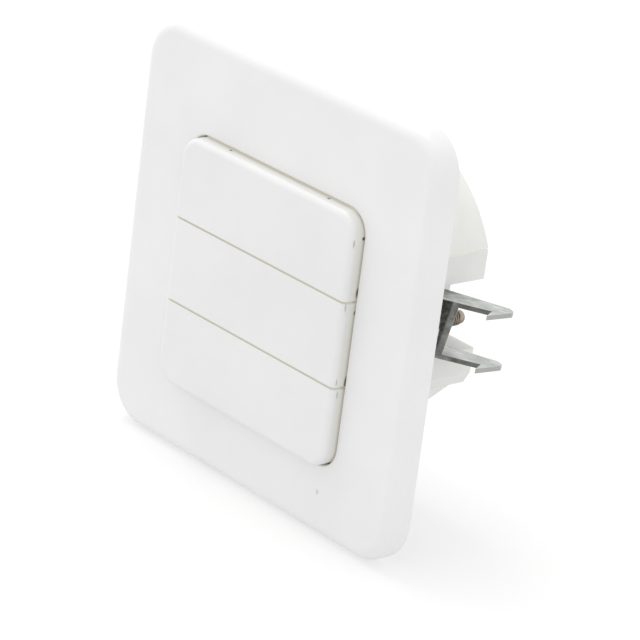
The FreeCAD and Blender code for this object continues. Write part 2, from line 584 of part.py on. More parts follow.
# Housing: cup behind the ring with four flats, round above and bevelled below, and with a claw
# channel in each side whose lower guide stands out past the bevel
def housing_base():
    body = new_body("housing_base")
    extrude(body, "XZ", [disc("0", "0", size("body_radius"))], "0", size("body_depth"))
    half = size("body_half")
    edge = f"({size('body_radius')} + Sizes.overrun)"
    back = f"(-{edge})"
    right_left = [rectangle(half, edge, back, edge), rectangle(back, f"(-{half})", back, edge)]
    carve(body, "XZ", right_left, "(-Sizes.overrun)", "(Sizes.body_depth + Sizes.overrun)")
    up_down = [rectangle(back, edge, half, edge), rectangle(back, edge, back, f"(-{half})")]
    carve(body, "XZ", up_down, "(-Sizes.overrun)", "(Sizes.body_depth + Sizes.overrun)")
    reach = f"({half} + {BODY_BEVEL})"
    for side in SIDES.values():
        corner = [(f"({side} * ({reach} + {GUIDE_LOW}))", GUIDE_LOW), (f"({side} * {edge})", GUIDE_LOW),
                  (f"({side} * {edge})", f"(-{edge})"), (f"({side} * ({reach} - {edge}))", f"(-{edge})")]
        carve(body, "XZ", [corner], "(-Sizes.overrun)", "(Sizes.body_depth + Sizes.overrun)")
    soften(body, size("body_round"), lambda edge: flat_at(edge, "Y", number(size("body_depth"))))
    carve(body, "XZ", [housing_inside("0")], "(-Sizes.overrun)", REAR_WALL)
    for side in SIDES.values():
        across = [f"({side} * {CHANNEL_FLOOR})", f"({side} * (Sizes.body_half + Sizes.overrun))"]
        left, right = sorted(across, key=number)
        carve(body, "XZ", [rectangle(left, right, f"({CLAW_Z} - {CHANNEL_HALF})",
                                     f"({CLAW_Z} + {CHANNEL_HALF})")],
              "(-Sizes.overrun)", "(Sizes.body_depth + Sizes.overrun)")
        across = [f"({side} * (Sizes.body_half - Sizes.seam_groove))",
                  f"({side} * (Sizes.body_half + Sizes.overrun))"]
        left, right = sorted(across, key=number)
        carve(body, "XZ", [rectangle(left, right, f"({BODY_SEAM} - Sizes.seam_groove)",
                                     BODY_SEAM)],
              "(-Sizes.overrun)", "(Sizes.body_depth + Sizes.overrun)")
        ledge = [f"({side} * {CHANNEL_INNER})", f"({side} * ({CHANNEL_INNER} - Sizes.ledge_width))"]
        left, right = sorted(ledge, key=number)
        extrude(body, "XZ", [rectangle(left, right, f"({CLAW_Z} - Sizes.ledge_half)",
                                       f"({CLAW_Z} + Sizes.ledge_half)")], BOARD_BACK, POWER_FRONT)
    extrude(body, "XZ", boss_ribs("0"), size("cover_thick"), size("boss_end"))
    for across, up in four_ways(FIX_SIDE, FIX_RISE):
        extrude(body, "XZ", [disc(across, up, size("boss_radius"))], size("cover_thick"), size("boss_end"))
        carve(body, "XZ", [disc(across, up, "(Sizes.fix_radius + Sizes.fix_play)")],
              size("cover_thick"), f"({CARRIER_FRONT} + Sizes.fix_length + Sizes.fix_play)")
    openings = []
    for across in terminal_places():
        openings.append(square_at(across, ENTRY_Z, "Sizes.entry_side / 2", "Sizes.entry_side / 2"))
        openings.append(disc(across, WELL_Z, size("well_radius")))
    carve(body, "XZ", openings, REAR_WALL, "(Sizes.body_depth + Sizes.overrun)")


def screws(name, places, radius, head, head_high, seat, end):
    """Cheese-head screws along Y: head in front of its seat, driver slot, rounded rim."""
    body = new_body(name)
    top = f"({seat} - {head_high})"
    extrude(body, "XZ", [disc(across, up, head) for across, up in places], top, seat)
    soften(body, size("head_round"), lambda edge: flat_at(edge, "Y", number(top)))
    extrude(body, "XZ", [disc(across, up, radius) for across, up in places], seat, end)
    slots = [square_at(across, up, f"({head} + Sizes.overrun / 2)", "Sizes.driver_width / 2")
             for across, up in places]
    carve(body, "XZ", slots, f"({top} - Sizes.overrun)", f"({top} + Sizes.driver_depth)")
    return body


def claw_screw(side, sign):
    place = [(f"({sign} * {CLAW_SIDE})", CLAW_Z)]
    body = screws(f"claw_screw_{side}", place, size("screw_radius"), size("screw_head"),
                  size("screw_head_high"), RING_FRONT, SCREW_END)
    soften(body, size("screw_tip"), lambda edge: flat_at(edge, "Y", number(SCREW_END)))


# Claw: folded steel, a slotted web across the screw and two hooked arms, drooping on its screw
def claw(side, sign):
    body = new_body(f"claw_{side}")
    half = CLAW_HALF
    sheet_half = "(Sizes.claw_sheet / 2)"
    web = [
        (f"({sign} * -Sizes.tail_reach)", f"(-{half})"),
        (f"({sign} * (Sizes.web_reach - Sizes.web_lean))", f"(-{half})"),
        (f"({sign} * (Sizes.web_reach + Sizes.web_lean))", half),
        (f"({sign} * -Sizes.tail_reach)", half),
    ]
    extrude(body, "XZ", [web], f"(-{sheet_half})", sheet_half)
    carve(body, "XZ", [square_at("0", "0", size("slot_reach"), size("slot_rise"))],
          f"(-{sheet_half})", sheet_half)
    arm = [
        (f"({sign} * -Sizes.tail_reach)", f"(-{sheet_half})"),
        (f"({sign} * Sizes.notch_reach)", f"(-{sheet_half})"),
        (f"({sign} * Sizes.barb_reach)", "(-Sizes.barb_front)"),
        (f"({sign} * Sizes.tip_reach)", size("tip_back")),
        (f"({sign} * Sizes.nose_reach)", size("nose_back")),
        (f"({sign} * -Sizes.shoulder_reach)", size("shoulder_back")),
        (f"({sign} * -Sizes.tail_reach)", size("tail_back")),
    ]
    extrude(body, "XY", [arm], f"(-{half})", f"(Sizes.claw_sheet - {half})")
    extrude(body, "XY", [arm], f"({half} - Sizes.claw_sheet)", half)
    tips = [number(size("tip_reach")), number(size("nose_reach"))]
    soften(body, size("nose_round"),
           lambda edge: along(edge, "Z")
           and any(abs(abs(edge.CenterOfMass.x) - reach) < 1e-4 for reach in tips))
    swing = f"rotationy({sign} * Sizes.claw_roll) * rotationz({sign} * Sizes.claw_swing)"
    place = f"vector({sign} * {CLAW_SIDE}; {CLAW_DEPTH}; {CLAW_Z})"
    body.setExpression("Placement", f"placement({place}; {swing})")


# Circuit boards: as large as the housing's inside leaves, with a notch at each claw channel
def control_board():
    body = new_body("control_board")
    extrude(body, "XZ", [housing_inside(size("board_play"))], size("board_depth"), BOARD_BACK)
    front = f"({size('board_depth')} - Sizes.overrun)"
    back = f"({BOARD_BACK} + Sizes.overrun)"
    carve(body, "XZ", boss_ribs(size("board_play")), front, back)
    for across, up in four_ways(FIX_SIDE, FIX_RISE):
        carve(body, "XZ", [disc(across, up, "(Sizes.boss_radius + Sizes.board_play)")], front, back)


def power_board():
    body = new_body("power_board")
    extrude(body, "XZ", [housing_inside(size("board_play"))], POWER_FRONT, POWER_BACK)


# Key switches: a square body on the control board and a round plunger through the cover
def key_switch(index, name, side, sign):
    body = new_body(f"switch_{name}_{side}")
    across = f"({sign} * {PUSHER_SIDE})"
    up = key_middle(index)
    extrude(body, "XZ", [square_at(across, up, "Sizes.switch_side / 2", "Sizes.switch_side / 2")],
            SWITCH_FRONT, size("board_depth"))
    extrude(body, "XZ", [disc(across, up, size("plunger_radius"))], PLUNGER_TOP, SWITCH_FRONT)


def block(name, across, up, half_across, half_up, low, high):
    """Rectangular piece on a board."""
    body = new_body(name)
    extrude(body, "XZ", [square_at(across, up, half_across, half_up)], low, high)
    return body


# Antenna: a wire from the radio module, across and down behind the control board
def antenna():
    depth = number(f"{BOARD_BACK} + Sizes.radio_thick / 2")
    start = number(f"Sizes.radio_width / 2 - {RADIO_SIDE}")
    side = number(ANTENNA_SIDE)
    rise = number(ANTENNA_RISE)
    low = number("-Sizes.antenna_drop")
    bend = number(size("antenna_bend"))
    slant = bend * (1 - 0.5 ** 0.5)
    first = Part.LineSegment(FreeCAD.Vector(start, depth, rise), FreeCAD.Vector(side - bend, depth, rise))
    turn = Part.Arc(FreeCAD.Vector(side - bend, depth, rise),
                    FreeCAD.Vector(side - slant, depth, rise - slant),
                    FreeCAD.Vector(side, depth, rise - bend))
    last = Part.LineSegment(FreeCAD.Vector(side, depth, rise - bend), FreeCAD.Vector(side, depth, low))
    path = Part.Wire([first.toShape(), turn.toShape(), last.toShape()])
    circle = Part.Circle(FreeCAD.Vector(start, depth, rise), FreeCAD.Vector(1, 0, 0),
                         number(size("antenna_radius")))
    wire = doc.addObject("Part::Feature", "antenna")
    wire.Shape = path.makePipeShell([Part.Wire([circle.toShape()])], True, True)
    wire.Placement = FreeCAD.Placement()
    wire.Label = "antenna"


def terminal_block():
    half = f"(({TERMINALS} * Sizes.terminal_pitch) / 2 + Sizes.terminal_margin)"
    body = block("terminal_block", "0", f"(-{TERMINAL_DROP})", half, "Sizes.terminal_high / 2",
                 POWER_BACK, REAR_WALL)
    entries = [square_at(across, ENTRY_Z, "Sizes.entry_side / 2", "Sizes.entry_side / 2")
               for across in terminal_places()]
    carve(body, "XZ", entries, f"({REAR_WALL} - {ENTRY_DEEP})", f"({REAR_WALL} + Sizes.overrun)")
    wells = [disc(across, WELL_Z, size("well_radius")) for across in terminal_places()]
    carve(body, "XZ", wells, f"({REAR_WALL} - {WELL_DEEP})", f"({REAR_WALL} + Sizes.overrun)")


def terminal_screws():
    body = new_body("terminal_screws")
    floor = f"({REAR_WALL} - {WELL_DEEP})"
    top = f"({floor} + Sizes.clamp_high)"
    extrude(body, "XZ", [disc(across, WELL_Z, size("clamp_radius")) for across in terminal_places()],
            floor, top)
    slots = [square_at(across, WELL_Z, "(Sizes.clamp_radius + Sizes.overrun / 4)", "Sizes.driver_width / 2")
             for across in terminal_places()]
    carve(body, "XZ", slots, f"({top} - Sizes.driver_depth)", f"({top} + Sizes.overrun)")


cover_frame()
for index, name in enumerate(KEYS):
    rocker_key(index, name)
key_carrier()
mounting_ring()
housing_cover()
housing_base()
screws("housing_screws", four_ways(FIX_SIDE, FIX_RISE), size("fix_radius"),
       size("fix_head"), size("fix_head_high"), CARRIER_FRONT,
       f"({CARRIER_FRONT} + Sizes.fix_length)")
for side, sign in SIDES.items():
    claw_screw(side, sign)
    claw(side, sign)
control_board()
for index, name in enumerate(KEYS):
    for side, sign in SIDES.items():
        key_switch(index, name, side, sign)
block("radio_module", f"(-{RADIO_SIDE})", RADIO_RISE, "Sizes.radio_width / 2",
      "Sizes.radio_high / 2", BOARD_BACK, f"({BOARD_BACK} + Sizes.radio_thick)")
antenna()
block("pin_header", "0", "(-Sizes.header_drop)", "Sizes.header_width / 2", "Sizes.header_high / 2",
      BOARD_BACK, POWER_FRONT)
power_board()
for order in range(int(number(size("relay_count")))):
    shift = f"(({order} - (Sizes.relay_count - 1) / 2) * {RELAY_PITCH})"
    relay = block(f"relay_{order + 1}", shift, RELAY_MIDDLE, f"{RELAY_WIDTH} / 2",
                  f"{RELAY_HIGH} / 2", POWER_BACK, f"({POWER_BACK} + {RELAY_LENGTH})")
    soften(relay, size("relay_round"), lambda edge: along(edge, "Y"))
capacitor = block("supply_capacitor", "0", CAPACITOR_RISE, "Sizes.capacitor_width / 2",
                  "Sizes.capacitor_high / 2", POWER_BACK, f"({POWER_BACK} + {CAPACITOR_LENGTH})")
soften(capacitor, size("relay_round"), lambda edge: along(edge, "Y"))
terminal_block()
terminal_screws()

doc.recompute()
for item in doc.Objects:
    if "Invalid" in item.State or "Error" in item.State:
        raise RuntimeError(f"{item.Name} did not recompute: {item.State}")
subparts = [item for item in doc.Objects
            if item.TypeId == "PartDesign::Body" or item.TypeId == "Part::Feature"]
for item in subparts:
    if item.Shape.isNull() or not item.Shape.isValid():
        raise RuntimeError(f"{item.Label} has no valid shape")
for item in subparts:
    item.Shape.exportStep(f"parts/{item.Label}.step")
    print(item.Label, len(item.Shape.Solids), round(item.Shape.Volume, 2))
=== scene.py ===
import math

import bpy
import numpy as np
from bpy.props import (FloatProperty, FloatVectorProperty, IntProperty, PointerProperty,
                       StringProperty)
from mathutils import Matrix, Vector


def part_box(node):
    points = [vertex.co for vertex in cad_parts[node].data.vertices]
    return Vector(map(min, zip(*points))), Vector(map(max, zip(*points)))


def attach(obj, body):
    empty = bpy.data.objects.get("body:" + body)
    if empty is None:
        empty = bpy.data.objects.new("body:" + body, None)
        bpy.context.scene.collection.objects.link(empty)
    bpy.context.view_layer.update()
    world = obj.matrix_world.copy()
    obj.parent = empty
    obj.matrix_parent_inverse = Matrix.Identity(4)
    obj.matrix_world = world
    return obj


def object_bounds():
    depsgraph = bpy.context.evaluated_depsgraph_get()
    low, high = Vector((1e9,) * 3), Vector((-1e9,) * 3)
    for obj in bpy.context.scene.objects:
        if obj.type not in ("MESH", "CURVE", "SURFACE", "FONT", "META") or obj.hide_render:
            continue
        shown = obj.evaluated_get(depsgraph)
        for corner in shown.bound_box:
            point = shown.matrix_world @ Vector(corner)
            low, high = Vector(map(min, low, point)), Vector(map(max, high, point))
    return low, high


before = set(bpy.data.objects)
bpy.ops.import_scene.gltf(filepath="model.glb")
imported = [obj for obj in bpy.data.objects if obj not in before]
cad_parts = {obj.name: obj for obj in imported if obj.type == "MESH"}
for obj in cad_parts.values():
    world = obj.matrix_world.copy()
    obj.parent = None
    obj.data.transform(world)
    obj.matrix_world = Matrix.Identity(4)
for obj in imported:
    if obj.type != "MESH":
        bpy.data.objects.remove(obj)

bl_info = {
    "name": "Flush-mounted rocker wall switch",
    "version": (1, 0, 0),
    "blender": (4, 5, 0),
    "location": "3D View > Sidebar > Wall switch",
    "description": "Dresses the packed wall switch with finishes, screw threads and a studio",
    "category": "Object",
}

CAD_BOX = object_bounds()
MM = 0.001

# Claws, in degrees: how far their fold leans from upright, and how far they stand from the wall
CLAW_LEAN = 4.6
CLAW_SWING = 37.7
# Reach along a claw, from the frame's middle: the web's painted lit strip, its slope, and the arms'
# root
WEB_STRIP = (30.3 * MM, 30.7 * MM)
WEB_SLOPE = 0.19
ARM_ROOT = (31.6 * MM, 32.4 * MM)

# Claw screws' thread, in millimetres: its start, the bare tip, the depth that it is sunk in the
# shank, and its profile's corners as shares of the pitch
THREAD_START = 3.0
BARE_TIP = 1.1
THREAD_SUNK = 0.08
THREAD_PROFILE = (-0.46, -0.08, 0.08, 0.46)

# Studio, in metres: the floor's half side and its distance under the object, the lamps' width and
# place, and the camera's axes, to the right, down the picture and into it
FLOOR_REACH = 1.5
FLOOR_GAP = 0.3 * MM
LAMPS = (
    ("top_light", 0.5, (-0.36, -0.04, 0.86)),
    ("side_light", 0.3, (-0.85, -0.12, 0.3)),
)
CAMERA_ROWS = (
    (0.6422798, 0.75678284, 0.12147586),
    (0.34377161, -0.14277741, -0.9281356),
    (-0.68505309, 0.6378827, -0.3518635),
)


# Small helpers

def linear(code):
    """Linear red, green, blue and alpha of an sRGB hex value."""
    values = [int(code[index:index + 2], 16) / 255 for index in (1, 3, 5)]
    return [v / 12.92 if v <= 0.04045 else ((v + 0.055) / 1.055) ** 2.4 for v in values] + [1.0]


def settings():
    """The sizes and colours that the sidebar shows."""
    return bpy.context.scene.wall_switch


def add(tree, kind, inputs=None, **attributes):
    """Add a node, set its attributes, and set or link each named input."""
    made = tree.nodes.new(kind)
    for name, value in attributes.items():
        setattr(made, name, value)
    for name, value in (inputs or {}).items():
        if isinstance(value, bpy.types.NodeSocket):
            tree.links.new(value, made.inputs[name])
        else:
            made.inputs[name].default_value = value
    return made


def start_material(name):
    """A material without nodes, its tree, and the object coordinates in it."""
    material = bpy.data.materials.new(name)
    material.use_nodes = True
    tree = material.node_tree
    tree.nodes.clear()
    place = add(tree, "ShaderNodeTexCoord").outputs["Object"]
    return material, tree, place


def close_material(tree, inputs):
    """The shader with these inputs, joined to the output."""
    shader = add(tree, "ShaderNodeBsdfPrincipled", inputs)
    add(tree, "ShaderNodeOutputMaterial", {"Surface": shader.outputs["BSDF"]})


def cells(millimetres):
    """Texture scale, in cycles a metre, for features of this size."""
    return 1 / (millimetres * MM)


def noise(tree, place, millimetres, detail=2.0, rough=0.5):
    """Noise whose features are this large."""
    inputs = {"Vector": place, "Scale": cells(millimetres), "Detail": detail, "Roughness": rough}
    return add(tree, "ShaderNodeTexNoise", inputs).outputs["Fac"]


def between(tree, factor, low, high, start=0.0, end=1.0):
    """Carry a factor from one range to another."""
    inputs = {"Value": factor, "From Min": start, "From Max": end, "To Min": low, "To Max": high}
    return add(tree, "ShaderNodeMapRange", inputs, clamp=True).outputs["Result"]


def blend_colours(tree, factor, first, second):
    """Mix two colours, each a colour or a socket."""
    inputs = {"Factor": factor, "A": first, "B": second}
    made = tree.nodes.new("ShaderNodeMix")
    made.data_type = "RGBA"
    sockets = {"Factor": made.inputs[0], "A": made.inputs[6], "B": made.inputs[7]}
    for name, value in inputs.items():
        if isinstance(value, bpy.types.NodeSocket):
            tree.links.new(value, sockets[name])
        else:
            sockets[name].default_value = value
    return made.outputs[2]


def mottled(tree, factor, low, high, colour, tint):
    """Two hex colours mixed by a factor: all the first below low, all the second above high."""
    mix = between(tree, factor, 0.0, 1.0, low, high)
    return blend_colours(tree, mix, linear(colour), linear(tint))


def raised(tree, height, distance, strength):
    """Bump whose height runs over this many millimetres."""
    inputs = {"Height": height, "Distance": distance * MM, "Strength": strength}
    return add(tree, "ShaderNodeBump", inputs).outputs["Normal"]


def spot(tree, place, point, inner, outer, squeeze):
    """One near a point in millimetres, falling to nought between two radii.

    Distance is taken after each axis is multiplied by its squeeze, so a small value draws the spot
    out along that axis, and nought makes it endless.
    """
    squeezed = add(tree, "ShaderNodeVectorMath", {0: place, 1: squeeze}, operation="MULTIPLY")
    centre = [value * factor * MM for value, factor in zip(point, squeeze)]
    ends = {0: squeezed.outputs[0], 1: centre}
    reach = add(tree, "ShaderNodeVectorMath", ends, operation="DISTANCE")
    return between(tree, reach.outputs["Value"], 1.0, 0.0, inner * MM, outer * MM)


def dust_and_painted_glow(tree, place, shade, slits):
    """Colour with a dusted tint and painted shade in these slits, and the strength of the painted
    glow in them.
    """
    glow = 0.0
    for point, inner, outer, squeeze, strength, dust_and_shade_tint in slits:
        held = spot(tree, place, point, inner, outer, squeeze)
        shade = blend_colours(tree, held, shade, linear(dust_and_shade_tint))
        lit = between(tree, held, 0.0, strength)
        glow = add(tree, "ShaderNodeMath", {0: glow, 1: lit}, operation="MAXIMUM").outputs[0]
    return shade, glow


def dress(material, *names):
    """Put one finish on CAD nodes."""
    for name in names:
        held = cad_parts[name].data.materials
        held.clear()
        held.append(material)


def put_mesh(name, vertices, faces, material, body, record_slot):
    """A smooth mesh from arrays of vertices and four-cornered faces, riding on a body."""
    mesh = bpy.data.meshes.new(name)
    mesh.from_pydata(vertices.tolist(), [], faces.tolist())
    mesh.polygons.foreach_set("use_smooth", np.ones(len(mesh.polygons), bool))
    mesh.update()
    mesh.materials.append(material)
    made = bpy.data.objects.new(name, mesh)
    bpy.context.scene.collection.objects.link(made)
    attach(made, body)
    return made


# Finishes

def moulded_abs(name, colour, tint, gloss, marks, slits=()):
    """White moulded ABS.

    Injection moulded against a spark-eroded tool: a fine even grain that takes the gloss down, a
    colour that hardly varies over centimetres, and small darker marks at listed places. In the
    slits the walls take a dusted tint with painted shade, and a painted glow keeps them from
    going black.
    """
    material, tree, place = start_material(name)
    cloud = noise(tree, place, 16.0, 3.0)
    shade = mottled(tree, cloud, 0.35, 0.65, colour, tint)
    shade, glow = dust_and_painted_glow(tree, place, shade, slits)
    # Small darker marks at listed places, on the surfaces and deep in the keys' gaps
    for point, inner, outer, squeeze, strength, mark_colour in marks:
        held = between(tree, spot(tree, place, point, inner, outer, squeeze), 0.0, strength)
        shade = blend_colours(tree, held, shade, linear(mark_colour))
    # The real grain of about 0.1 mm is too fine for the picture, so it is drawn at 0.35 mm
    grain = noise(tree, place, 0.35, 2.0, 0.6)
    polish = between(tree, noise(tree, place, 5.0, 2.0), gloss - 0.04, gloss + 0.04, 0.3, 0.7)
    normal = raised(tree, grain, 0.006, 0.35)
    close_material(tree, {"Base Color": shade, "Roughness": polish, "IOR": 1.53, "Normal": normal,
                          "Emission Color": shade, "Emission Strength": glow})
    return material


def glass_filled_nylon(name, colour, tint):
    """Moulded glass-filled polyamide: matt, with faint flow marks and fibre specks."""
    material, tree, place = start_material(name)
    flow = noise(tree, place, 9.0, 4.0, 0.6)
    shade = mottled(tree, flow, 0.3, 0.7, colour, tint)
    fibre = noise(tree, place, 0.4, 3.0, 0.7)
    speck = between(tree, fibre, 0.0, 0.12, 0.55, 0.75)
    shade = blend_colours(tree, speck, shade, linear("#c2c2b8"))
    # Along the seam under the top, a greyer band with a painted glow stands in for the light and
    # shade at the step
    shade, glow = dust_and_painted_glow(tree, place, shade, HOUSING_SLITS)
    normal = raised(tree, fibre, 0.01, 0.4)
    close_material(tree, {"Base Color": shade, "Roughness": 0.55, "IOR": 1.53, "Normal": normal,
                          "Emission Color": shade, "Emission Strength": glow})
    return material


def plated_steel(name, colour, tint, grain, rough):
    """Zinc-plated steel sheet or screw: a soft metal sheen with a fine crystalline spangle."""
    material, tree, place = start_material(name)
    crystal = add(tree, "ShaderNodeTexVoronoi", {"Vector": place, "Scale": cells(grain)})
    tone = between(tree, crystal.outputs["Color"], 0.0, 1.0)
    shade = blend_colours(tree, tone, linear(colour), linear(tint))
    haze = between(tree, noise(tree, place, 2.5, 3.0), rough - 0.06, rough + 0.08, 0.3, 0.7)
    normal = raised(tree, noise(tree, place, 0.3, 2.0), 0.004, 0.4)
    close_material(tree, {"Base Color": shade, "Metallic": 1.0, "Roughness": haze,
                          "Normal": normal})
    return material


def blanked_spring_steel(name, roll, swing):
    """Blanked and folded spring steel.

    Its rolled faces are bright with fine streaks along the strip. The sheared faces, which look
    to the room and out of the strip, are painted darker: painted shade and dark reflection from
    between the frame and the wall, deepest in the fold.
    """
    material, tree, place = start_material(name)
    turned = add(tree, "ShaderNodeMapping", {"Vector": place, "Rotation": (0.0, 0.0, -swing)})
    streak_place = add(tree, "ShaderNodeMapping", {"Vector": turned.outputs["Vector"],
                                                   "Scale": (0.22, 1.0, 0.6)})
    # Rolling streaks are a few hundredths wide, and drawn at 0.5 mm
    streak = noise(tree, streak_place.outputs["Vector"], 0.5, 4.0, 0.6)
    facing = add(tree, "ShaderNodeTexCoord").outputs["Normal"]
    across = (math.sin(roll), 0.0, math.cos(roll))
    flat = add(tree, "ShaderNodeVectorMath", {0: facing, 1: across}, operation="DOT_PRODUCT")
    flatness = add(tree, "ShaderNodeMath", {0: flat.outputs["Value"]}, operation="ABSOLUTE")
    along = (math.cos(swing), math.sin(swing), 0.0)
    end = add(tree, "ShaderNodeVectorMath", {0: facing, 1: along}, operation="DOT_PRODUCT")
    rolled = mottled(tree, streak, 0.35, 0.65, "#b5b7b5", "#dadcda")
    haze = between(tree, noise(tree, place, 3.5, 3.0, 0.6), 0.0, 0.4, 0.42, 0.62)
    bright = blend_colours(tree, haze, rolled, linear("#8f9391"))
    # Sheared faces are mottled, with painted shade: darkest in the fold, a painted lit strip along
    # the web's free edge, and a painted mid grey along the arms
    axes = add(tree, "ShaderNodeSeparateXYZ", {"Vector": turned.outputs["Vector"]}).outputs
    reach = axes["X"]
    # The web's free edge leans inward towards its foot, and so does the painted lit strip
    slope = {0: axes["Z"], 1: -WEB_SLOPE, 2: reach}
    leaning = add(tree, "ShaderNodeMath", slope, operation="MULTIPLY_ADD")
    painted_lit_strip = between(tree, leaning.outputs[0], 0.0, 1.0, *WEB_STRIP)
    arm = between(tree, reach, 0.0, 1.0, *ARM_ROOT)
    blot = noise(tree, place, 0.9, 4.0, 0.65)
    painted_shade_and_stain = mottled(tree, streak, 0.38, 0.6, "#868784", "#a3a4a1")
    painted_shade_and_stain = blend_colours(tree, painted_lit_strip, linear("#424240"), painted_shade_and_stain)
    # Along the arms the sheared faces get a painted mid grey, standing in for shade and dark
    # reflection
    painted_shade_and_stain = blend_colours(tree, arm, painted_shade_and_stain, linear("#6c6c69"))
    stain = between(tree, blot, 0.0, 0.4, 0.42, 0.7)
    painted_shade_and_stain = blend_colours(tree, stain, painted_shade_and_stain, linear("#989995"))
    tip = between(tree, end.outputs["Value"], 0.0, 1.0, 0.2, 0.8)
    edge = blend_colours(tree, tip, painted_shade_and_stain, linear("#b4b5b2"))
    # The broad rolled faces get the bright colour and the sheared faces the painted darker one,
    # chosen by the way each face looks
    face = between(tree, flatness.outputs[0], 0.0, 1.0, 0.5, 0.8)
    shade = blend_colours(tree, face, edge, bright)
    polish = between(tree, streak, 0.28, 0.45, 0.3, 0.7)
    normal = raised(tree, streak, 0.006, 0.5)
    close_material(tree, {"Base Color": shade, "Metallic": 1.0, "Roughness": polish,
                          "Normal": normal})
    return material


def chromated_steel(name):
    """Yellow-chromated steel screw: brownish grey, with a film that is thicker in places."""
    material, tree, place = start_material(name)
    film = noise(tree, place, 1.2, 3.0, 0.6)
    shade = mottled(tree, film, 0.35, 0.65, "#8c8276", "#aca293")
    polish = between(tree, noise(tree, place, 0.5, 2.0), 0.3, 0.45, 0.3, 0.7)
    normal = raised(tree, film, 0.01, 0.3)
    close_material(tree, {"Base Color": shade, "Metallic": 1.0, "Roughness": polish,
                          "Normal": normal})
    return material


def glass_epoxy_board(name):
    """Glass-epoxy circuit board: the weave of the cloth shows faintly through the green resist."""
    material, tree, place = start_material(name)
    bands = {"Vector": place, "Scale": cells(1.0) / 3, "Distortion": 0.4}
    warp = add(tree, "ShaderNodeTexWave", bands, bands_direction="X").outputs["Fac"]
    weft = add(tree, "ShaderNodeTexWave", bands, bands_direction="Z").outputs["Fac"]
    weave = add(tree, "ShaderNodeMath", {0: warp, 1: weft}, operation="MULTIPLY").outputs[0]
    shade = blend_colours(tree, weave, linear("#0d4a22"), linear("#16602f"))
    normal = raised(tree, weave, 0.02, 0.5)
    close_material(tree, {"Base Color": shade, "Roughness": 0.3, "IOR": 1.5, "Coat Weight": 0.4,
                          "Normal": normal})
    return material


def moulded_plastic(name, colour, tint, rough):
    """Plain moulded component case: fine grain, slight unevenness of tone."""
    material, tree, place = start_material(name)
    cloud = noise(tree, place, 3.0, 3.0)
    shade = mottled(tree, cloud, 0.3, 0.7, colour, tint)
    fine = noise(tree, place, 0.5, 2.0)
    polish = between(tree, fine, rough - 0.05, rough + 0.05, 0.3, 0.7)
    normal = raised(tree, fine, 0.01, 0.35)
    close_material(tree, {"Base Color": shade, "Roughness": polish, "IOR": 1.5, "Normal": normal})
    return material


# Shapes

def screw_thread(middle, start, end, root, crest, pitch, steps):
    """Thread ridge wound round an axis along Y.

    A four-cornered profile, two corners sunk in the shank and two on the crest, is carried along a
    helix: the angle grows evenly, and Y grows by one pitch a turn. Over the first and last half
    turn the crest grows out of the shank, so both ends close flush in it.
    """
    turns = (end - start) / pitch
    angle = np.linspace(0.0, turns * 2 * np.pi, int(turns * steps))
    run_out = np.clip(np.minimum(angle, angle[-1] - angle) / np.pi, 0.0, 1.0)
    sunk = root - THREAD_SUNK
    top = sunk + (crest - sunk) * run_out
    radius = np.stack([np.full_like(angle, sunk), top, top, np.full_like(angle, sunk)], axis=1)
    shift = np.array(THREAD_PROFILE) * pitch
    level = start + pitch * angle / (2 * np.pi)
    x = middle[0] + radius * np.cos(angle)[:, None]
    z = middle[1] + radius * np.sin(angle)[:, None]
    y = level[:, None] + shift[None, :]
    vertices = np.stack([x, y, z], axis=2).reshape(-1, 3) * MM
    ring = np.arange(len(angle) - 1)[:, None] * 4 + np.arange(4)[None, :]
    beside = np.arange(len(angle) - 1)[:, None] * 4 + (np.arange(4)[None, :] + 1) % 4
    faces = np.stack([ring, beside, beside + 4, ring + 4], axis=2).reshape(-1, 4)
    last = (len(angle) - 1) * 4
    caps = np.array([[0, 3, 2, 1], [last, last + 1, last + 2, last + 3]])
    return vertices, np.concatenate([faces, caps])


# Properties

class PlasticProperties(bpy.types.PropertyGroup):
    frame_colour: StringProperty(name="Frame", description="sRGB hex value of the cover frame",
                                 default="#e2e2e2")
    key_colour: StringProperty(name="Keys", description="sRGB hex value of the rocker keys",
                               default="#dfdfdf")
    housing_colour: StringProperty(name="Housing", description="sRGB hex value of the housing",
                                   default="#e2e2e0")
    gloss: FloatProperty(name="Roughness", description="Roughness of the white parts", default=0.4,
                         min=0.05, max=1.0, subtype="FACTOR")


class ThreadProperties(bpy.types.PropertyGroup):
    pitch: FloatProperty(name="Pitch", description="Rise of one turn of the claw screw's thread",
                         default=0.5 * MM, unit="LENGTH", subtype="DISTANCE")
    crest: FloatProperty(name="Crest radius", description="Radius over the thread's crests",
                         default=1.45 * MM, unit="LENGTH", subtype="DISTANCE")
    root: FloatProperty(name="Shank radius", description="Radius of the shank under the thread",
                        default=1.25 * MM, unit="LENGTH", subtype="DISTANCE")
    steps: IntProperty(name="Steps a turn", description="Profiles along one turn of the thread",
                       default=40, min=12, max=120)


class StudioProperties(bpy.types.PropertyGroup):
    camera_place: FloatVectorProperty(name="Camera", description="Place of the camera",
                                      default=(0.405083, -0.367528, 0.199226), size=3,
                                      unit="LENGTH", subtype="TRANSLATION")
    lens: FloatProperty(name="Lens", description="Focal length on a 36 mm sensor", default=182.78)
    dome: FloatProperty(name="Dome", description="Brightness of the white surroundings",
                        default=1.08)
    top_light: FloatProperty(name="Top light", description="Power of the large light overhead",
                             default=2.8, unit="POWER")
    table_light: FloatProperty(name="Table light", description="Brightness of the table from below",
                               default=0.55)
    side_light: FloatProperty(name="Side light", description="Power of the light to the left",
                              default=0.5, unit="POWER")
    floor_colour: StringProperty(name="Floor", description="sRGB hex value of the floor",
                                 default="#a3a3a2")


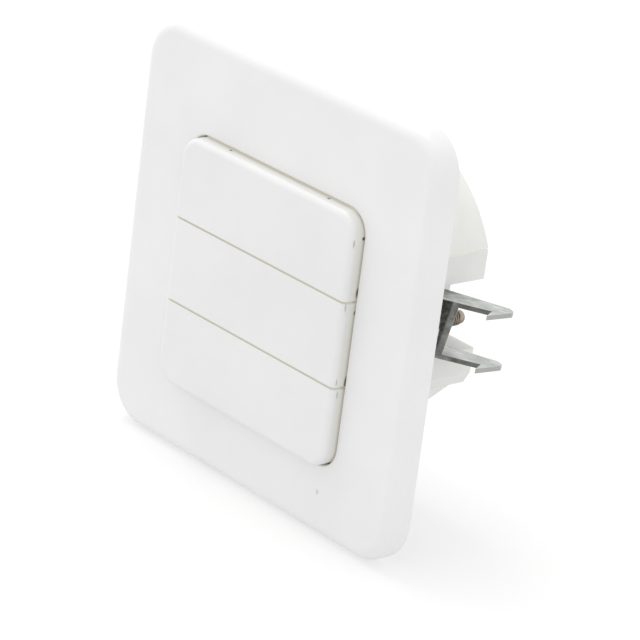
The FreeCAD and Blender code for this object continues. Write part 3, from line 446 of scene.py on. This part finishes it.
class WallSwitchProperties(bpy.types.PropertyGroup):
    plastic: PointerProperty(type=PlasticProperties, name="Plastic", description="White mouldings")
    thread: PointerProperty(type=ThreadProperties, name="Thread", description="Claw screws' thread")
    studio: PointerProperty(type=StudioProperties, name="Studio",
                            description="Camera, floor and light")


# Operators, one for each piece or group of like pieces

class WALLSWITCH_OT_cover_frame(bpy.types.Operator):
    """Finish the cover frame as white moulded ABS with its few marks"""
    bl_idname = "wall_switch.cover_frame"
    bl_label = "Cover frame"

    def execute(self, context):
        plastic = settings().plastic
        finish = moulded_abs("moulded_abs_frame", plastic.frame_colour, "#dfdfdf", plastic.gloss,
                             FRAME_MARKS)
        dress(finish, "cover_frame")
        return {"FINISHED"}


class WALLSWITCH_OT_keys(bpy.types.Operator):
    """Finish the three rocker keys as white moulded ABS"""
    bl_idname = "wall_switch.keys"
    bl_label = "Rocker keys"

    def execute(self, context):
        plastic = settings().plastic
        finish = moulded_abs("moulded_abs_keys", plastic.key_colour, "#dcdcdc",
                             plastic.gloss + 0.02, KEY_MARKS, KEY_SLITS)
        dress(finish, "key_top", "key_middle", "key_bottom")
        return {"FINISHED"}


class WALLSWITCH_OT_carrier(bpy.types.Operator):
    """Finish the key carrier and the insulating cover"""
    bl_idname = "wall_switch.carrier"
    bl_label = "Key carrier and insulating cover"

    def execute(self, context):
        dress(moulded_plastic("moulded_acetal_carrier", "#e2e1dc", "#d9d8d2", 0.45), "key_carrier")
        dress(moulded_plastic("moulded_polycarbonate_cover", "#a3a5a3", "#989a98", 0.5),
              "housing_cover")
        return {"FINISHED"}


class WALLSWITCH_OT_ring(bpy.types.Operator):
    """Finish the mounting ring and the housing screws as zinc-plated steel"""
    bl_idname = "wall_switch.ring"
    bl_label = "Mounting ring and housing screws"

    def execute(self, context):
        dress(plated_steel("zinc_plated_sheet", "#c2c5c8", "#d3d5d6", 1.6, 0.34), "mounting_ring")
        dress(plated_steel("zinc_plated_screw", "#b8babb", "#cdcecf", 0.7, 0.3), "housing_screws")
        return {"FINISHED"}


class WALLSWITCH_OT_housing(bpy.types.Operator):
    """Finish the housing as moulded glass-filled polyamide"""
    bl_idname = "wall_switch.housing"
    bl_label = "Housing"

    def execute(self, context):
        colour = settings().plastic.housing_colour
        dress(glass_filled_nylon("moulded_polyamide_housing", colour, "#dbdbd6"), "housing_base")
        return {"FINISHED"}


class WALLSWITCH_OT_claws(bpy.types.Operator):
    """Finish the two spreading claws as blanked spring steel"""
    bl_idname = "wall_switch.claws"
    bl_label = "Claws"

    def execute(self, context):
        roll, swing = math.radians(CLAW_LEAN), math.radians(CLAW_SWING)
        dress(blanked_spring_steel("blanked_spring_steel_right", roll, swing), "claw_right")
        dress(blanked_spring_steel("blanked_spring_steel_left", -roll, math.pi - swing),
              "claw_left")
        return {"FINISHED"}


class WALLSWITCH_OT_claw_screws(bpy.types.Operator):
    """Finish the two claw screws and wind their threads"""
    bl_idname = "wall_switch.claw_screws"
    bl_label = "Claw screws and threads"

    def execute(self, context):
        thread = settings().thread
        finish = chromated_steel("chromated_steel_screw")
        dress(finish, "claw_screw_left", "claw_screw_right")
        for side in ("left", "right"):
            low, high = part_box(f"claw_screw_{side}")
            middle = [(low[axis] + high[axis]) / 2 / MM for axis in (0, 2)]
            rear = high[1] / MM
            shape = screw_thread(middle, THREAD_START, rear - BARE_TIP, thread.root / MM,
                                 thread.crest / MM, thread.pitch / MM, thread.steps)
            put_mesh(f"claw_thread_{side}", *shape, finish, f"claw_screw_{side}",
                     "claw_screw_steel")
        return {"FINISHED"}


class WALLSWITCH_OT_boards(bpy.types.Operator):
    """Finish the circuit boards, the switches and the parts of the radio"""
    bl_idname = "wall_switch.boards"
    bl_label = "Boards, switches and radio"

    def execute(self, context):
        dress(glass_epoxy_board("glass_epoxy_board"), "control_board", "power_board")
        names = [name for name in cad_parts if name.startswith("switch_")]
        dress(moulded_plastic("moulded_nylon_switch", "#2c2c2d", "#242425", 0.5), *names)
        dress(plated_steel("tinned_can", "#cfd0cf", "#dddddb", 1.0, 0.25), "radio_module")
        dress(plated_steel("enamelled_copper_wire", "#c07a4d", "#cd8a5c", 0.5, 0.3), "antenna")
        dress(moulded_plastic("moulded_header", "#1d1d1e", "#262627", 0.5), "pin_header")
        return {"FINISHED"}


class WALLSWITCH_OT_power_parts(bpy.types.Operator):
    """Finish the relays, the capacitor and the terminals"""
    bl_idname = "wall_switch.power_parts"
    bl_label = "Relays, capacitor and terminals"

    def execute(self, context):
        dress(moulded_plastic("moulded_relay_case", "#35383c", "#2d3034", 0.42),
              "relay_1", "relay_2", "relay_3")
        dress(moulded_plastic("potted_capacitor_case", "#b9a54a", "#ad9a43", 0.4),
              "supply_capacitor")
        dress(moulded_plastic("moulded_terminal_block", "#b9bbb8", "#aeb0ad", 0.5),
              "terminal_block")
        dress(plated_steel("nickel_plated_brass", "#cfc7ad", "#ddd6c0", 0.7, 0.28),
              "terminal_screws")
        return {"FINISHED"}


class WALLSWITCH_OT_stage(bpy.types.Operator):
    """Set up the floor, the soft light and the camera at the photograph's place"""
    bl_idname = "wall_switch.stage"
    bl_label = "Stage"

    def execute(self, context):
        studio = settings().studio
        scene = bpy.context.scene
        scene.view_settings.view_transform = "Standard"
        self.floor(studio)
        self.light(scene, studio)
        self.camera(scene, studio)
        return {"FINISHED"}

    def floor(self, studio):
        """A flat square just under the object."""
        reach, level = FLOOR_REACH, CAD_BOX[0][2] - FLOOR_GAP
        corners = np.array([[-reach, -reach, level], [reach, -reach, level],
                            [reach, reach, level], [-reach, reach, level]])
        mesh = bpy.data.meshes.new("studio_floor")
        mesh.from_pydata(corners.tolist(), [], [(0, 1, 2, 3)])
        # Opal acrylic sheet lit from below, which keeps the shadows on it faint
        material, tree, place = start_material("opal_acrylic_table")
        tone = between(tree, noise(tree, place, 60.0, 2.0), 0.0, 1.0, 0.3, 0.7)
        shade = blend_colours(tree, tone, linear(studio.floor_colour), linear("#a1a1a1"))
        close_material(tree, {"Base Color": shade, "Roughness": 0.85,
                              "Emission Color": (1.0, 1.0, 1.0, 1.0),
                              "Emission Strength": studio.table_light})
        mesh.materials.append(material)
        floor = bpy.data.objects.new("studio_floor", mesh)
        bpy.context.scene.collection.objects.link(floor)

    def light(self, scene, studio):
        """White surroundings, a large light above and a smaller one to the left of the object."""
        world = bpy.data.worlds.new("white_surroundings")
        world.use_nodes = True
        ground = world.node_tree.nodes["Background"]
        ground.inputs["Color"].default_value = (1.0, 1.0, 1.0, 1.0)
        ground.inputs["Strength"].default_value = studio.dome
        scene.world = world
        for name, width, lamp_place in LAMPS:
            lamp = bpy.data.lights.new(name, "AREA")
            lamp.shape = "DISK"
            lamp.size = width
            lamp.energy = getattr(studio, name)
            held = bpy.data.objects.new(name, lamp)
            held.location = lamp_place
            held.rotation_euler = held.location.to_track_quat("Z", "Y").to_euler()
            scene.collection.objects.link(held)

    def camera(self, scene, studio):
        """The camera where the photograph was taken, turned by its three axes."""
        rows = np.array(CAMERA_ROWS)
        turn = np.stack([rows[0], -rows[1], -rows[2]], axis=1)
        whole = np.eye(4)
        whole[:3, :3] = turn
        whole[:3, 3] = studio.camera_place
        lens = bpy.data.cameras.new("camera")
        lens.sensor_width = 36.0
        lens.lens = studio.lens
        lens.clip_start = 0.01
        held = bpy.data.objects.new("camera", lens)
        held.matrix_world = whole.T.tolist()
        scene.collection.objects.link(held)
        scene.camera = held


class WALLSWITCH_PT_panel(bpy.types.Panel):
    """The steps that dress the switch"""
    bl_idname = "WALLSWITCH_PT_panel"
    bl_label = "Wall switch"
    bl_space_type = "VIEW_3D"
    bl_region_type = "UI"
    bl_category = "Wall switch"

    def draw(self, context):
        groups = settings()
        for group in (groups.plastic, groups.thread, groups.studio):
            column = self.layout.column(align=True)
            for name in group.__annotations__:
                column.prop(group, name)
        for step in OPERATORS:
            self.layout.operator(step.bl_idname)


# Marks: place, inner and outer radius in millimetres, squeeze along each axis, strength, colour
ROUND = (1.0, 1.0, 1.0)
TICK = (0.3, 1.0, 0.17)
FRAME_MARKS = (
    ((20.8, -5.0, -31.7), 0.05, 0.45, (1.0, 1.0, 0.6), 0.5, "#8f8c84"),
)
KEY_MARKS = (
    ((-12.8, -5.3, 21.3), 0.15, 0.4, ROUND, 0.95, "#1d1a10"),
    ((14.3, -5.3, 21.3), 0.15, 0.4, ROUND, 0.95, "#1d1a10"),
    ((23.9, -4.85, 17.2), 0.2, 0.45, ROUND, 0.95, "#1d1a10"),
    ((23.85, -6.85, 16.45), 0.05, 0.18, TICK, 0.8, "#8b8571"),
    ((23.85, -6.85, 4.7), 0.05, 0.2, TICK, 0.65, "#8b8571"),
    ((23.85, -6.7, -9.3), 0.05, 0.16, TICK, 0.7, "#8b8571"),
    ((23.85, -6.2, -11.7), 0.05, 0.16, TICK, 0.8, "#8b8571"),
    ((23.85, -4.65, 7.2), 0.2, 0.42, (1.0, 1.0, 0.35), 0.8, "#2b2515"),
    ((23.85, -4.6, 3.5), 0.15, 0.4, (1.0, 1.0, 0.8), 0.8, "#2b2515"),
    ((23.85, -4.6, -9.6), 0.2, 0.45, (1.0, 1.0, 0.3), 0.85, "#2b2515"),
)
# Slits: as the marks, but the colour is a dusted tint with painted shade, and the strength is that
# of the painted glow in them
HOUSING_SLITS = (
    # The housing's seam under the top, lightened by a painted glow
    ((0.0, 0.0, 11.73), 0.2, 0.26, (0.0, 0.0, 1.0), 0.36, "#cecec8"),
)
KEY_SLITS = (
    # The first entry lightens the keys' side walls with a painted glow; the others paint the slits
    # between the keys and the gaps round them
    ((0.0, 0.0, 0.0), 4.9, 6.9, (0.0, 1.0, 0.0), 0.13, "#cfcfc8"),
    ((0.0, 0.0, 5.508), 0.19, 0.23, (0.0, 0.0, 1.0), 0.66, "#aba99f"),
    ((0.0, 0.0, -10.508), 0.19, 0.23, (0.0, 0.0, 1.0), 0.66, "#aba99f"),
    ((0.0, 0.0, 0.0), 4.85, 5.15, (0.0, 1.0, 0.0), 0.84, "#939086"),
    ((0.0, 0.0, 21.7), 4.85, 5.15, (0.0, 1.0, 2.4), 0.88, "#a6a499"),
)

GROUPS = (PlasticProperties, ThreadProperties, StudioProperties, WallSwitchProperties)
OPERATORS = (
    WALLSWITCH_OT_cover_frame,
    WALLSWITCH_OT_keys,
    WALLSWITCH_OT_carrier,
    WALLSWITCH_OT_ring,
    WALLSWITCH_OT_housing,
    WALLSWITCH_OT_claws,
    WALLSWITCH_OT_claw_screws,
    WALLSWITCH_OT_boards,
    WALLSWITCH_OT_power_parts,
    WALLSWITCH_OT_stage,
)


def register():
    for group in GROUPS + OPERATORS + (WALLSWITCH_PT_panel,):
        bpy.utils.register_class(group)
    bpy.types.Scene.wall_switch = PointerProperty(
        type=WallSwitchProperties, name="Wall switch",
        description="Sizes and colours of the wall switch")


def unregister():
    del bpy.types.Scene.wall_switch
    for group in reversed(GROUPS + OPERATORS + (WALLSWITCH_PT_panel,)):
        bpy.utils.unregister_class(group)


def main():
    register()
    for step in OPERATORS:
        area, name = step.bl_idname.split(".")
        getattr(getattr(bpy.ops, area), name)()


if __name__ == "__main__":
    main()
